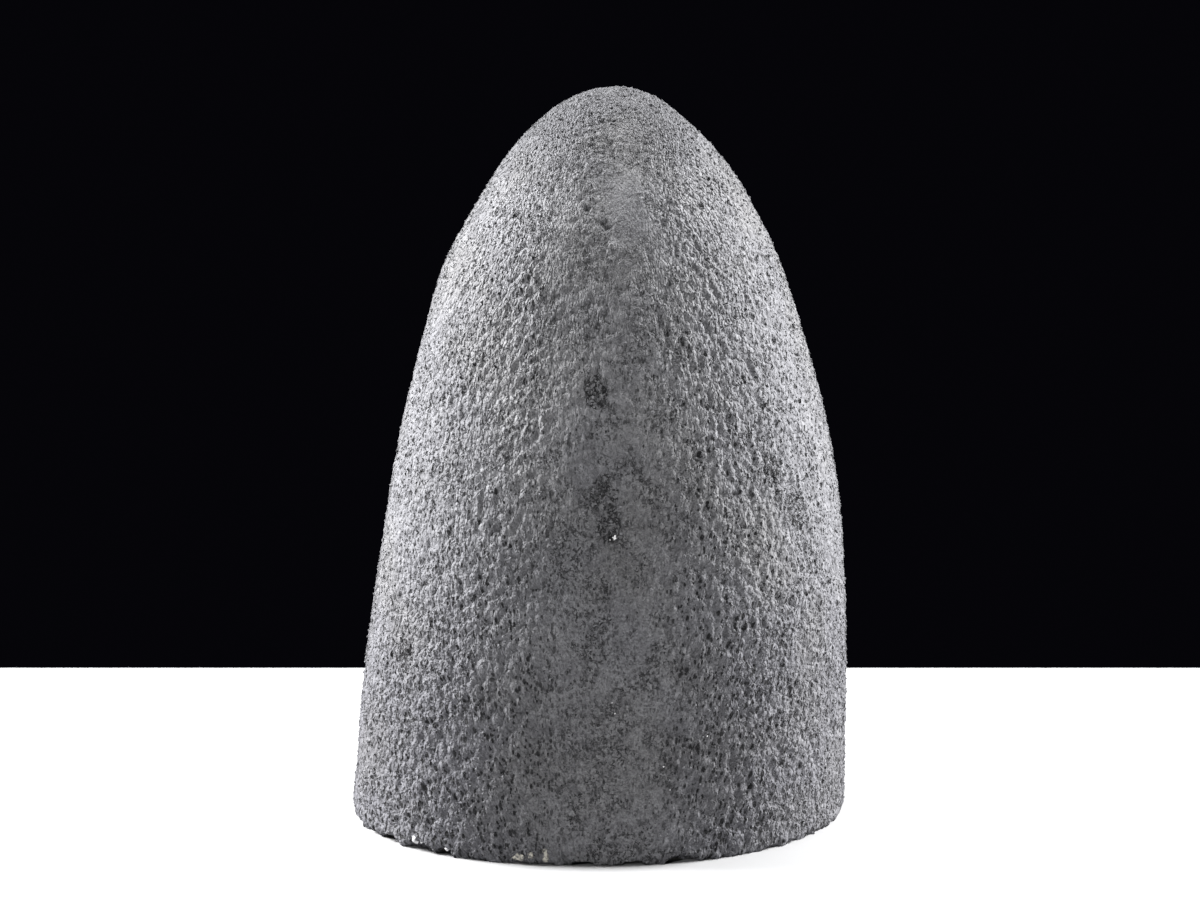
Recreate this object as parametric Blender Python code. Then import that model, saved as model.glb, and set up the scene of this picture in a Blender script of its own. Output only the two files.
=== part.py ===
"""An amethyst geode, sawn open down its front and sawn flat at its foot, with grey mortar over its back.

Metres, +Z up. The origin is on the foot, under the middle of the whole object. -Y is the sawn front, where
the hollow and its crystals show, and +Y is the mortared back.
"""

import math
import random

import bmesh
import bpy
import numpy as np
from mathutils import Matrix, Vector, noise

# The whole form is a tall dome, lofted from level sections.
HEIGHT = 0.250
HALF_WIDTH = 0.0859
BACK_DEPTH = 0.0773
FRONT_DEPTH = 0.0790
DOME_POWER = 2.06
PLUS_X_POWER = 2.4
MINUS_X_POWER = 2.15
TOP_SHIFT = -0.0024
FOOT_SHIFT = 0.0034
SHIFT_STARTS = 0.55
LUMP = 0.0008
LUMP_LENGTH = 0.045
LUMPS_ROUND = 2
SECTIONS = 24
SIDES = 56

# How far the two flanks stand proud of that dome: height, then the +X flank and the -X flank.
FLANK_SWELL = (
    (0.000, 0.0000, 0.0004),
    (0.020, -0.0013, 0.0002),
    (0.070, 0.0000, -0.0004),
    (0.100, -0.0002, -0.0006),
    (0.145, 0.0004, 0.0006),
    (0.176, 0.0006, 0.0000),
    (0.192, 0.0023, 0.0000),
    (0.210, 0.0000, -0.0002),
    (0.240, 0.0000, -0.0016),
    (0.250, 0.0000, 0.0000),
)

# The front is sawn off by a plane that leans back from the foot.
SAW_Y = -0.0340
SAW_LEAN = math.radians(5)

# The mortar lies over the stone's back, with the gap that touching solids keep.
MORTAR = 0.0040
GAP = 0.0003

# The hollow is an egg that stands in the sawn face. It is widest low down, and each end has its roundness.
HOLLOW_FLOOR = 0.028
HOLLOW_WIDEST = 0.083
HOLLOW_TOP = 0.2240
HOLLOW_HALF_WIDTH = 0.0590
HOLLOW_DEPTH = 0.0680
HOLLOW_SHIFT = 0.0006
FLOOR_POWER = 2.5
TOP_POWER = 1.85

# The crystals stand side by side all over the hollow's wall, each a blunt point on an uneven footprint.
CRYSTALS = 1000
POINT_HEIGHT = (0.0026, 0.0062)
FOOTPRINT_JITTER = 0.0028
POINT_TILT = 0.0013
CRYSTAL_SEED = 7
AREA_STEPS = 200
GOLDEN_ANGLE = math.pi * (3 - math.sqrt(5))

# Chips in the mortar's foot edge: angle from +X round to the back, and the chip's size along, out and up.
# Each is a rough ball, and CHIP_TANGENT is the turn either side of it that gives the edge's direction there.
CHIPS = (
    (math.radians(107), Vector((0.0056, 0.0030, 0.0030))),
    (math.radians(48), Vector((0.0080, 0.0028, 0.0028))),
    (math.radians(57), Vector((0.0040, 0.0024, 0.0026))),
)
CHIP_ROUGHNESS = (0.80, 1.15)
CHIP_TANGENT = 0.05
CHIP_SEED = 3


def smooth(share):
    """0 to 1, with a level start and end."""
    share = min(max(share, 0.0), 1.0)
    return share * share * (3 - 2 * share)


def flank_swell(height, side):
    """How far the flank at +X (side 1) or -X (side 2) stands proud of the dome at this height."""
    for low, high in zip(FLANK_SWELL, FLANK_SWELL[1:]):
        if height <= high[0]:
            share = smooth((height - low[0]) / (high[0] - low[0]))
            return low[side] + (high[side] - low[side]) * share
    return FLANK_SWELL[-1][side]


def superellipse(angle, power):
    """The point of a superellipse with both half-axes 1 at this angle."""
    c, s = math.cos(angle), math.sin(angle)
    return (
        math.copysign(abs(c) ** (2 / power), c),
        math.copysign(abs(s) ** (2 / power), s),
    )


def form_point(rise, angle, inset):
    """A point of the dome, this far inside its skin. rise is 0 at the foot and a quarter turn at the top."""
    across, back = superellipse(angle, PLUS_X_POWER if math.cos(angle) > 0 else MINUS_X_POWER)
    wide = math.cos(rise)
    height = (HEIGHT - inset) * math.sin(rise) ** (2 / DOME_POWER)
    depth = BACK_DEPTH if back > 0 else FRONT_DEPTH
    swell = flank_swell(height, 1 if across > 0 else 2) * abs(across)
    point = Vector(
        (
            across * ((HALF_WIDTH - inset) * wide + swell),
            back * (depth - inset) * wide,
            height,
        )
    )
    drop = 1 - height / HEIGHT
    point.x += TOP_SHIFT + (FOOT_SHIFT - TOP_SHIFT) * smooth(
        (drop - SHIFT_STARTS) / (1 - SHIFT_STARTS)
    )
    lump = LUMP * noise.noise(Vector((across * LUMPS_ROUND, back * LUMPS_ROUND, height / LUMP_LENGTH)))
    return point + Vector((across, back, 0)) * lump


def form_mesh(inset, skirt=0):
    """The closed dome this far inside the outer skin. A skirt carries its foot straight down by so much."""
    bm = bmesh.new()
    rings = []
    for i in range(SECTIONS):
        rise = math.pi / 2 * i / SECTIONS
        rings.append([bm.verts.new(form_point(rise, 2 * math.pi * j / SIDES, inset)) for j in range(SIDES)])
    if skirt:
        rings.insert(0, [bm.verts.new(vertex.co - Vector((0, 0, skirt))) for vertex in rings[0]])
    top = bm.verts.new(form_point(math.pi / 2, 0, inset))
    bm.faces.new(reversed(rings[0]))
    for low, high in zip(rings, rings[1:]):
        for j in range(SIDES):
            k = (j + 1) % SIDES
            bm.faces.new((low[j], low[k], high[k], high[j]))
    for j in range(SIDES):
        bm.faces.new((rings[-1][j], rings[-1][(j + 1) % SIDES], top))
    return bm


def make_object(name, bm, material=None):
    """An object of this mesh. With no material it is a cutter, which isn't part of the model."""
    bmesh.ops.recalc_face_normals(bm, faces=bm.faces)
    mesh = bpy.data.meshes.new(name)
    bm.to_mesh(mesh)
    bm.free()
    made = bpy.data.objects.new(name, mesh)
    bpy.context.scene.collection.objects.link(made)
    if material:
        mesh.materials.append(material)
    else:
        made.hide_render = True
        made.display_type = "WIRE"
    return made


def cut(body, cutter):
    """Takes the cutter away from the body."""
    boolean = body.modifiers.new(cutter.name, "BOOLEAN")
    boolean.operation = "DIFFERENCE"
    boolean.solver = "EXACT"
    boolean.object = cutter


def saw_plane_y(height):
    """Where the leaning saw cut is at this height."""
    return SAW_Y + height * math.tan(SAW_LEAN)


def saw_cutter():
    """A block in front of the saw cut, larger than the stone."""
    bm = bmesh.new()
    bmesh.ops.create_cube(bm, size=3 * HEIGHT)
    bmesh.ops.translate(bm, verts=bm.verts, vec=(0, -1.5 * HEIGHT, 0))
    bmesh.ops.rotate(bm, verts=bm.verts, matrix=Matrix.Rotation(-SAW_LEAN, 3, "X"))
    bmesh.ops.translate(bm, verts=bm.verts, vec=(0, SAW_Y, 0))
    return make_object("saw", bm)


def hollow_reach(latitude):
    """How far the hollow reaches from its widest level to the end on this side of it."""
    return HOLLOW_TOP - HOLLOW_WIDEST if latitude > 0 else HOLLOW_WIDEST - HOLLOW_FLOOR


def hollow_point(latitude, bearing):
    """The point of the hollow's wall at these angles about the sawn face's middle, at the widest level."""
    power = TOP_POWER if latitude > 0 else FLOOR_POWER
    level, rise = math.cos(latitude), math.sin(latitude)
    stretch = (level**power + abs(rise) ** power) ** (-1 / power)
    height = HOLLOW_WIDEST + hollow_reach(latitude) * stretch * rise
    return Vector(
        (
            HOLLOW_SHIFT + HOLLOW_HALF_WIDTH * stretch * level * math.cos(bearing),
            saw_plane_y(height) + HOLLOW_DEPTH * stretch * level * math.sin(bearing),
            height,
        )
    )


def even_latitudes(count):
    """Latitudes that share the hollow's wall into this many rings of equal area, from its floor up."""
    latitudes = [math.pi * (i / AREA_STEPS - 0.5) for i in range(AREA_STEPS + 1)]
    sides = [hollow_point(latitude, 0) for latitude in latitudes]
    area = [0.0]
    for low, high in zip(sides, sides[1:]):
        radius = (low.x + high.x) / 2 - HOLLOW_SHIFT
        area.append(area[-1] + radius * (high - low).length)
    return np.interp(area[-1] * (np.arange(count) + 0.5) / count, area, latitudes)


def hollow_cutter():
    """The hollow's space: an egg dented by each crystal, whose footprint joins the hull's face middles."""
    draw = random.Random(CRYSTAL_SEED)
    bm = bmesh.new()
    for number, latitude in enumerate(even_latitudes(CRYSTALS)):
        radius = max(hollow_point(latitude, 0).x - HOLLOW_SHIFT, HOLLOW_HALF_WIDTH / 4)
        latitude += draw.uniform(-1, 1) * FOOTPRINT_JITTER / hollow_reach(latitude)
        bearing = number * GOLDEN_ANGLE + draw.uniform(-1, 1) * FOOTPRINT_JITTER / radius
        bm.verts.new(hollow_point(latitude, bearing))
    bmesh.ops.convex_hull(bm, input=bm.verts)
    bmesh.ops.triangulate(bm, faces=bm.faces)
    bm.normal_update()
    made = bmesh.new()
    corners = {face: made.verts.new(face.calc_center_median()) for face in bm.faces}
    for vertex in bm.verts:
        tilt = Vector(draw.uniform(-1, 1) for _ in range(3)) * POINT_TILT
        tip = made.verts.new(vertex.co - vertex.normal * draw.uniform(*POINT_HEIGHT) + tilt)
        for edge in vertex.link_edges:
            one, other = (corners[face] for face in edge.link_faces)
            made.faces.new((one, other, tip))
    bm.free()
    return make_object("hollow", made)


def chip_cutter(number, angle, size):
    """A rough lump, centred on the mortar's foot edge, which leaves a chip there."""
    draw = random.Random(CHIP_SEED + number)
    bm = bmesh.new()
    bmesh.ops.create_icosphere(bm, subdivisions=2, radius=1)
    for vertex in bm.verts:
        vertex.co *= draw.uniform(*CHIP_ROUGHNESS)
    bmesh.ops.scale(bm, verts=bm.verts, vec=size)
    edge = form_point(0, angle, 0)
    along = form_point(0, angle + CHIP_TANGENT, 0) - form_point(0, angle - CHIP_TANGENT, 0)
    turn = Matrix.Rotation(math.atan2(along.y, along.x), 3, "Z")
    bmesh.ops.rotate(bm, verts=bm.verts, matrix=turn)
    bmesh.ops.translate(bm, verts=bm.verts, vec=edge)
    return make_object(f"chip_{number}", bm)


def finish(name, colour, roughness):
    """A plain opaque material."""
    material = bpy.data.materials.new(name)
    material.use_nodes = True
    shader = material.node_tree.nodes["Principled BSDF"]
    shader.inputs["Base Color"].default_value = (*colour, 1)
    shader.inputs["Roughness"].default_value = roughness
    shader.inputs["Metallic"].default_value = 0
    return material


def make_mortar(saw):
    """The skin of sanded mortar over the back and the flanks."""
    body = make_object(
        "mortar_coat", form_mesh(0), finish("mortar", (0.16, 0.16, 0.17), 0.9)
    )
    cut(body, make_object("stone_space", form_mesh(MORTAR, skirt=MORTAR)))
    cut(body, saw)
    for number, (angle, size) in enumerate(CHIPS):
        cut(body, chip_cutter(number, angle, size))
    return body


def make_geode(saw):
    """The stone and its crystals, which grew as one piece."""
    body = make_object(
        "geode", form_mesh(MORTAR + GAP), finish("amethyst", (0.30, 0.17, 0.46), 0.25)
    )
    cut(body, saw)
    cut(body, hollow_cutter())
    return body


def stand_on_origin(bodies):
    """Moves every mesh so that the middle of the whole object's box is over the origin."""
    bpy.context.view_layer.update()
    graph = bpy.context.evaluated_depsgraph_get()
    corners = [
        Vector(corner) for body in bodies for corner in body.evaluated_get(graph).bound_box
    ]
    low = Vector(min(c[axis] for c in corners) for axis in range(3))
    high = Vector(max(c[axis] for c in corners) for axis in range(3))
    offset = Vector((-(low.x + high.x) / 2, -(low.y + high.y) / 2, -low.z))
    for made in bpy.context.scene.objects:
        made.location = offset


def main():
    for old in list(bpy.data.objects):
        bpy.data.objects.remove(old, do_unlink=True)
    saw = saw_cutter()
    stand_on_origin([make_mortar(saw), make_geode(saw)])


main()
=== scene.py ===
"""A standing amethyst geode: sawn stone lined with violet crystals, its back coated in mortar."""

import math
import random

import bmesh
import bpy
import numpy as np
from mathutils import Euler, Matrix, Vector, noise
from mathutils.bvhtree import BVHTree


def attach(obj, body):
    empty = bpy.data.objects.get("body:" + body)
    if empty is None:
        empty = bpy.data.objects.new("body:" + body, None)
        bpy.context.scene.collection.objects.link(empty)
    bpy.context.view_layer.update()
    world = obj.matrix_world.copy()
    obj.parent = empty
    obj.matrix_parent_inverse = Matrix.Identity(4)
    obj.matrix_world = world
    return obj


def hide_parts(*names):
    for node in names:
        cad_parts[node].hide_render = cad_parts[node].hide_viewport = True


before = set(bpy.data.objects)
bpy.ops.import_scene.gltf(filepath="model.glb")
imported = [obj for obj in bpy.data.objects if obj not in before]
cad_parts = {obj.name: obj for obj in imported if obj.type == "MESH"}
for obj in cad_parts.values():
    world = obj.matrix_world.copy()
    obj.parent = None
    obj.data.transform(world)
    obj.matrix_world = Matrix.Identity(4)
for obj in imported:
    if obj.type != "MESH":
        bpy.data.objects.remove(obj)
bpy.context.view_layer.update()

scene = bpy.context.scene
scene.view_settings.view_transform = "Standard"


# The camera stands behind the geode and a little above it, on a long lens, and looks at the middle
# of the mortar. The crystals are on the far side.
EYE = Vector((-0.0003, 0.9464, 0.2956))
AIM = Vector((-0.0003, -0.0217, 0.1249))
LENS_MM, FILM_MM = 85, 36
camera_data = bpy.data.cameras.new("camera")
camera_data.lens = LENS_MM
camera_data.sensor_width = FILM_MM
camera = bpy.data.objects.new("camera", camera_data)
camera.location = EYE
camera.rotation_euler = (AIM - EYE).to_track_quat("-Z", "Y").to_euler()
scene.collection.objects.link(camera)
scene.camera = camera


# The table is a plain block with a softened edge, painted matt white. The geode stands loose on it,
# near the edge that its crystals face.
TABLE_LOW = Vector((-1.6, -0.207, -0.9))
TABLE_HIGH = Vector((1.6, 1.6, 0.0))
TABLE_ROUND = 0.002
TABLE_WHITE = (0.28, 0.28, 0.284, 1)
TABLE_ROUGHNESS = 0.6


def mesh_object(name, bm):
    """An object of this mesh, in the scene."""
    mesh = bpy.data.meshes.new(name)
    bm.to_mesh(mesh)
    bm.free()
    made = bpy.data.objects.new(name, mesh)
    scene.collection.objects.link(made)
    return made


bm = bmesh.new()
bmesh.ops.create_cube(bm, size=1)
for vertex in bm.verts:
    vertex.co = [
        low + (high - low) * (at + 0.5) for low, high, at in zip(TABLE_LOW, TABLE_HIGH, vertex.co)
    ]
bmesh.ops.bevel(bm, geom=bm.edges[:], offset=TABLE_ROUND, segments=3, affect="EDGES")
table = mesh_object("table", bm)
table_paint = bpy.data.materials.new("table_paint")
table_paint.use_nodes = True
table_shader = table_paint.node_tree.nodes["Principled BSDF"]
table_shader.inputs["Base Color"].default_value = TABLE_WHITE
table_shader.inputs["Roughness"].default_value = TABLE_ROUGHNESS
table.data.materials.append(table_paint)


# The lights are soft boxes: a strong one on either flank of the mortar, weak ones overhead and over
# the camera, and two for the crystals' side. The room behind is nearly black.
LIT_PLACE = Vector((0, 0, 0.12))
SOFT_BOXES = (  # name, place, width and height, watts
    ("left_soft_box", (0.851, -0.181, 0.707), (0.4, 0.6), 69),
    ("right_soft_box", (-0.889, -0.189, 0.645), (0.4, 0.6), 57),
    ("top_soft_box", (0, 0, 1.2), (0.8, 0.8), 5),
    ("camera_side_light", (0, 1.5, 0.9), (1.0, 0.8), 10),
    ("front_left_light", (0.75, -0.95, 0.75), (0.9, 1.1), 15),
    ("front_right_light", (-0.8, -0.8, 0.5), (0.8, 1.1), 12),
)
ROOM_BLACK = (0.0017, 0.0016, 0.0026, 1)
for name, at, (width, height), watts in SOFT_BOXES:
    lamp = bpy.data.lights.new(name, "AREA")
    lamp.shape = "RECTANGLE"
    lamp.size, lamp.size_y = width, height
    lamp.energy = watts
    soft_box = bpy.data.objects.new(name, lamp)
    soft_box.location = at
    soft_box.rotation_euler = (LIT_PLACE - Vector(at)).to_track_quat("-Z", "Y").to_euler()
    soft_box.visible_camera = False
    scene.collection.objects.link(soft_box)
room = bpy.data.worlds.new("room")
scene.world = room
room.use_nodes = True
room.node_tree.nodes["Background"].inputs["Color"].default_value = ROOM_BLACK


# The stone is the geode's own wall, one solid that grew: a dark rind, thin agate bands and white
# quartz round a hollow. It is a tall dome, its foot sawn level and its front sawn off on a lean and
# polished. The mortar takes up the dome's outer MORTAR. All sizes are the CAD model's.
HEIGHT = 0.250
HALF_WIDTH = 0.0859
BACK_DEPTH = 0.0773
FRONT_DEPTH = 0.0790
DOME_POWER = 2.06
# The level sections are fuller on the +X side, and they shift sideways from the top down.
PLUS_X_POWER = 2.4
MINUS_X_POWER = 2.15
TOP_SHIFT = -0.0024
FOOT_SHIFT = 0.0034
SHIFT_STARTS = 0.55
LUMP = 0.0008
LUMP_LENGTH = 0.045
LUMPS_ROUND = 2
FLANK_HEIGHTS = (0.000, 0.020, 0.070, 0.100, 0.145, 0.168, 0.190, 0.216, 0.240, 0.250)
PLUS_X_SWELL = (0.0, -0.0013, 0.0, -0.0002, 0.0004, 0.0007, 0.0019, 0.0002, 0.0, 0.0)
MINUS_X_SWELL = (0.0004, 0.0002, -0.0004, -0.0006, 0.0006, 0.0, 0.0, -0.0002, -0.0016, 0.0)
ON_ORIGIN = (-0.00302, -0.02165, 0)
SAW_Y = -0.0340 + ON_ORIGIN[1]
SAW_LEAN = math.radians(5)
SAW_SLOPE = math.tan(SAW_LEAN)
ON_SAW = Vector((0, SAW_Y, 0))
SAW_NORMAL = Vector((0, -math.cos(SAW_LEAN), math.sin(SAW_LEAN)))
MORTAR = 0.0040
SKIRT = 0.006
STONE_ROWS, STONE_COLUMNS = 40, 96
BEDDED = 0.0002
STONE_PROUD = 0.00015
# The hollow is an egg, widest low down, whose upright axis lies in the sawn face.
HOLLOW_FLOOR = 0.028
HOLLOW_WIDEST = 0.083
HOLLOW_TOP = 0.2240
HOLLOW_HALF_WIDTH = 0.0590
HOLLOW_DEPTH = 0.0680
HOLLOW_X = 0.0006 + ON_ORIGIN[0]
FLOOR_POWER = 2.5
TOP_POWER = 1.85
WALL_ROWS, WALL_COLUMNS = 56, 112
WALL_SLACK = 0.0005
QUARTZ_IOR = 1.544
# Colours from the hollow, at 0, to the rind, at 1.
BANDS = (
    (0.00, (0.040, 0.011, 0.100)),
    (0.22, (0.060, 0.024, 0.125)),
    (0.34, (0.110, 0.078, 0.160)),
    (0.41, (0.125, 0.116, 0.136)),
    (0.60, (0.120, 0.120, 0.126)),
    (0.68, (0.062, 0.068, 0.078)),
    (0.78, (0.076, 0.079, 0.085)),
    (0.84, (0.040, 0.048, 0.042)),
    (0.88, (0.027, 0.029, 0.026)),
    (1.00, (0.024, 0.023, 0.022)),
)
CUT_CRYSTAL = (0.022, 0.006, 0.060, 1)
CRYSTAL_SEAM = (0.17, 0.14, 0.23, 1)
AGATE_LINE = (0.150, 0.156, 0.172, 1)
RIND_FLECK = (0.10, 0.095, 0.085, 1)
MILKY_CLOUD = (0.175, 0.170, 0.186, 1)
WALL_DEEP, WALL_PALE = (0.10, 0.05, 0.19, 1), (0.20, 0.13, 0.32, 1)
RIND_DARK, RIND_PALE = (0.045, 0.042, 0.036, 1), (0.105, 0.100, 0.088, 1)


def smooth(share):
    """0 to 1, with a level start and end."""
    share = np.clip(share, 0, 1)
    return share * share * (3 - 2 * share)


def swell_at(height, swell):
    """A flank's swell at these heights, eased from one station to the next."""
    station = np.searchsorted(FLANK_HEIGHTS, height, side="right") - 1
    station = np.clip(station, 0, len(swell) - 2)
    heights, swell = np.array(FLANK_HEIGHTS), np.array(swell)
    share = (height - heights[station]) / (heights[station + 1] - heights[station])
    return swell[station] + (swell[station + 1] - swell[station]) * smooth(share)


def dome_points(rise, angle, inset):
    """Points of the dome, this far inside its skin. rise is 0 at the foot, a quarter turn on top."""
    power = np.where(np.cos(angle) > 0, PLUS_X_POWER, MINUS_X_POWER)
    across = np.sign(np.cos(angle)) * np.abs(np.cos(angle)) ** (2 / power)
    back = np.sign(np.sin(angle)) * np.abs(np.sin(angle)) ** (2 / power)
    height = (HEIGHT - inset) * np.sin(rise) ** (2 / DOME_POWER)
    depth = np.where(back > 0, BACK_DEPTH, FRONT_DEPTH)
    swell = np.where(across > 0, swell_at(height, PLUS_X_SWELL), swell_at(height, MINUS_X_SWELL))
    x = across * ((HALF_WIDTH - inset) * np.cos(rise)) + swell * across * np.abs(across)
    y = back * (depth - inset) * np.cos(rise)
    shifted = smooth((1 - height / HEIGHT - SHIFT_STARTS) / (1 - SHIFT_STARTS))
    x = x + TOP_SHIFT + (FOOT_SHIFT - TOP_SHIFT) * shifted
    spots = zip(across * LUMPS_ROUND, back * LUMPS_ROUND, height / LUMP_LENGTH)
    lump = LUMP * np.array([noise.noise(Vector(spot)) for spot in spots])
    return np.stack((x + across * lump, y + back * lump, height), axis=1) + ON_ORIGIN


def join_rings(bm, rings):
    """Faces between rings of vertices, each ring above the last."""
    for low, high in zip(rings, rings[1:]):
        for j in range(len(low)):
            k = (j + 1) % len(low)
            bm.faces.new((low[j], low[k], high[k], high[j]))


def close_ring(bm, ring, pole, on_top):
    """Faces from a ring of vertices to the pole above or below it."""
    for j in range(len(ring)):
        k = (j + 1) % len(ring)
        bm.faces.new((ring[j], ring[k], pole) if on_top else (ring[k], ring[j], pole))


def dome_mesh(inset, rows, columns):
    """The closed dome this far inside its skin, its foot carried straight down by SKIRT."""
    rises = np.pi / 2 * np.arange(rows) / rows
    angles = 2 * np.pi * np.arange(columns) / columns
    rise, angle = np.meshgrid(rises, angles, indexing="ij")
    points = dome_points(rise.ravel(), angle.ravel(), inset)
    foot = points[:columns] - (0, 0, SKIRT)
    top = dome_points(np.array([np.pi / 2]), np.zeros(1), inset)
    bm = bmesh.new()
    verts = [bm.verts.new(point) for point in np.concatenate((foot, points, top))]
    bm.faces.new(reversed(verts[:columns]))
    rings = [verts[start : start + columns] for start in range(0, len(points) + 1, columns)]
    join_rings(bm, rings)
    close_ring(bm, rings[-1], verts[-1], True)
    return bm


def hollow_mesh(grow):
    """The hollow as a closed egg that stands in the sawn face, grown by this much."""
    bm = bmesh.new()
    rings = []
    for i in range(1, WALL_ROWS):
        latitude = math.pi * (i / WALL_ROWS - 0.5)
        power = TOP_POWER if latitude > 0 else FLOOR_POWER
        reach = HOLLOW_TOP - HOLLOW_WIDEST if latitude > 0 else HOLLOW_WIDEST - HOLLOW_FLOOR
        stretch = (math.cos(latitude) ** power + abs(math.sin(latitude)) ** power) ** (-1 / power)
        height = HOLLOW_WIDEST + (reach + grow) * stretch * math.sin(latitude)
        level = stretch * math.cos(latitude)
        ring = []
        for j in range(WALL_COLUMNS):
            bearing = 2 * math.pi * j / WALL_COLUMNS
            x = HOLLOW_X + (HOLLOW_HALF_WIDTH + grow) * level * math.cos(bearing)
            y = SAW_Y + SAW_SLOPE * height + (HOLLOW_DEPTH + grow) * level * math.sin(bearing)
            ring.append(bm.verts.new((x, y, height)))
        rings.append(ring)
    join_rings(bm, rings)
    for ring, height, on_top in (
        (rings[0], HOLLOW_FLOOR - grow, False),
        (rings[-1], HOLLOW_TOP + grow, True),
    ):
        pole = bm.verts.new((HOLLOW_X, SAW_Y + SAW_SLOPE * height, height))
        close_ring(bm, ring, pole, on_top)
    bmesh.ops.triangulate(bm, faces=bm.faces)
    return bm


def plug(socket, value):
    """Gives a socket a value, or links it to one."""
    if isinstance(value, Value):
        socket.id_data.links.new(value.socket, socket)
    else:
        socket.default_value = value


def maths(operation, *terms, clamp=False):
    """Adds a Math node with these terms, of which one or more are Values."""
    tree = [term for term in terms if isinstance(term, Value)][0].socket.id_data
    node = tree.nodes.new("ShaderNodeMath")
    node.operation = operation
    node.use_clamp = clamp
    for term, socket in zip(terms, node.inputs):
        plug(socket, term)
    return Value(node.outputs[0])


class Value:
    """A node socket's value. Arithmetic on it adds the Math nodes that work it out."""

    def __init__(self, socket):
        self.socket = socket

    def __add__(self, other):
        return maths("ADD", self, other)

    def __sub__(self, other):
        return maths("SUBTRACT", self, other)

    def __rsub__(self, other):
        return maths("SUBTRACT", other, self)

    def __mul__(self, other):
        return maths("MULTIPLY", self, other)

    def __truediv__(self, other):
        return maths("DIVIDE", self, other)

    def __rtruediv__(self, other):
        return maths("DIVIDE", other, self)

    def __pow__(self, other):
        return maths("POWER", self, other)

    def __neg__(self):
        return maths("MULTIPLY", self, -1)

    def __lt__(self, other):
        return maths("LESS_THAN", self, other)

    def __gt__(self, other):
        return maths("GREATER_THAN", self, other)

    __radd__ = __add__
    __rmul__ = __mul__

    def between(self, low, high):
        """0 below low and 1 above high, eased. With low above high it falls instead."""
        ramp = maths("DIVIDE", self - low, high - low, clamp=True)
        return ramp * ramp * (3 - 2 * ramp)


class Tree:
    """A node tree being wired, for a material or for a shape."""

    def __init__(self, tree):
        self.tree = tree

    def node(self, kind, settings=(), sockets=(), out=0):
        """Adds a node with these settings, and these values or links in its sockets."""
        made = self.tree.nodes.new(kind)
        for name, setting in dict(settings).items():
            if name == "stops":
                ramp = made.color_ramp
                while len(ramp.elements) < len(setting):
                    ramp.elements.new(1)
                for element, (at, colour) in zip(ramp.elements, setting):
                    element.position = at
                    element.color = (*colour, 1)
            else:
                setattr(made, name, setting)
        for name, value in dict(sockets).items():
            plug(made.inputs[name], value)
        return Value(made.outputs[out])

    def vector(self, operation, one, other=None):
        """One Vector Math node's result. For SCALE, other is a number."""
        sockets = {0: one}
        if other is not None:
            sockets["Scale" if operation == "SCALE" else 1] = other
        out = "Value" if operation in ("LENGTH", "DOT_PRODUCT") else "Vector"
        return self.node("ShaderNodeVectorMath", {"operation": operation}, sockets, out)

    def parts(self, vector):
        """The three numbers of a vector or a colour."""
        split = self.node("ShaderNodeSeparateXYZ", {}, {0: vector}).socket.node
        return [Value(socket) for socket in split.outputs]

    def place(self):
        """Where a point is, in metres from the object's origin."""
        if self.tree.type == "GEOMETRY":
            return self.node("GeometryNodeInputPosition")
        return self.node("ShaderNodeTexCoord", out="Object")

    def place_mm(self):
        """Where a point is, in millimetres."""
        return self.vector("MULTIPLY", self.place(), (1000, 1000, 1000))

    def noise(self, vector, length, detail=2.0, roughness=0.5, distortion=0.0):
        """Cloudy noise from 0 to 1, with clouds about this long."""
        sockets = {"Vector": vector, "Scale": 1 / length, "Detail": detail}
        sockets |= {"Roughness": roughness, "Distortion": distortion}
        return self.node("ShaderNodeTexNoise", {}, sockets)

    def cells(self, vector, length, out="Distance", feature="F1"):
        """Cellular noise: the distance to the nearest cell's middle, or that cell's own colour."""
        sockets = {"Vector": vector, "Scale": 1 / length}
        return self.node("ShaderNodeTexVoronoi", {"feature": feature}, sockets, out)

    def cell_edges(self, vector, length):
        """Cellular noise: the distance to the nearest edge between two cells."""
        return self.cells(vector, length, feature="DISTANCE_TO_EDGE")

    def cell_chances(self, vector, length):
        """Three numbers from 0 to 1 that are the same all over a cell."""
        return self.parts(self.cells(vector, length, "Color"))

    def mix(self, share, one, other):
        """Two colours mixed."""
        share_in, one_in, other_in, colour_out = 0, 6, 7, 2
        sockets = {share_in: share, one_in: one, other_in: other}
        return self.node("ShaderNodeMix", {"data_type": "RGBA"}, sockets, colour_out)

    def laid_over(self, colour, layers):
        """A colour with others laid over it in turn, each by its share."""
        for share, layer in layers:
            colour = self.mix(share, colour, layer)
        return colour

    def bump(self, height_mm, strength=1.0, reach=0.001):
        """The normal of a surface that has this relief."""
        sockets = {"Strength": strength, "Distance": reach, "Height": height_mm}
        return self.node("ShaderNodeBump", {}, sockets)


def material_of(name, finish, inside=None):
    material = bpy.data.materials.new(name)
    material.use_nodes = True
    material.node_tree.nodes.clear()
    tree = Tree(material.node_tree)
    output = tree.tree.nodes.new("ShaderNodeOutputMaterial")
    plug(output.inputs["Surface"], tree.node("ShaderNodeBsdfPrincipled", {}, finish(tree)))
    if inside:
        plug(output.inputs["Volume"], tree.node("ShaderNodeVolumeAbsorption", {}, inside))
    return material


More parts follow.
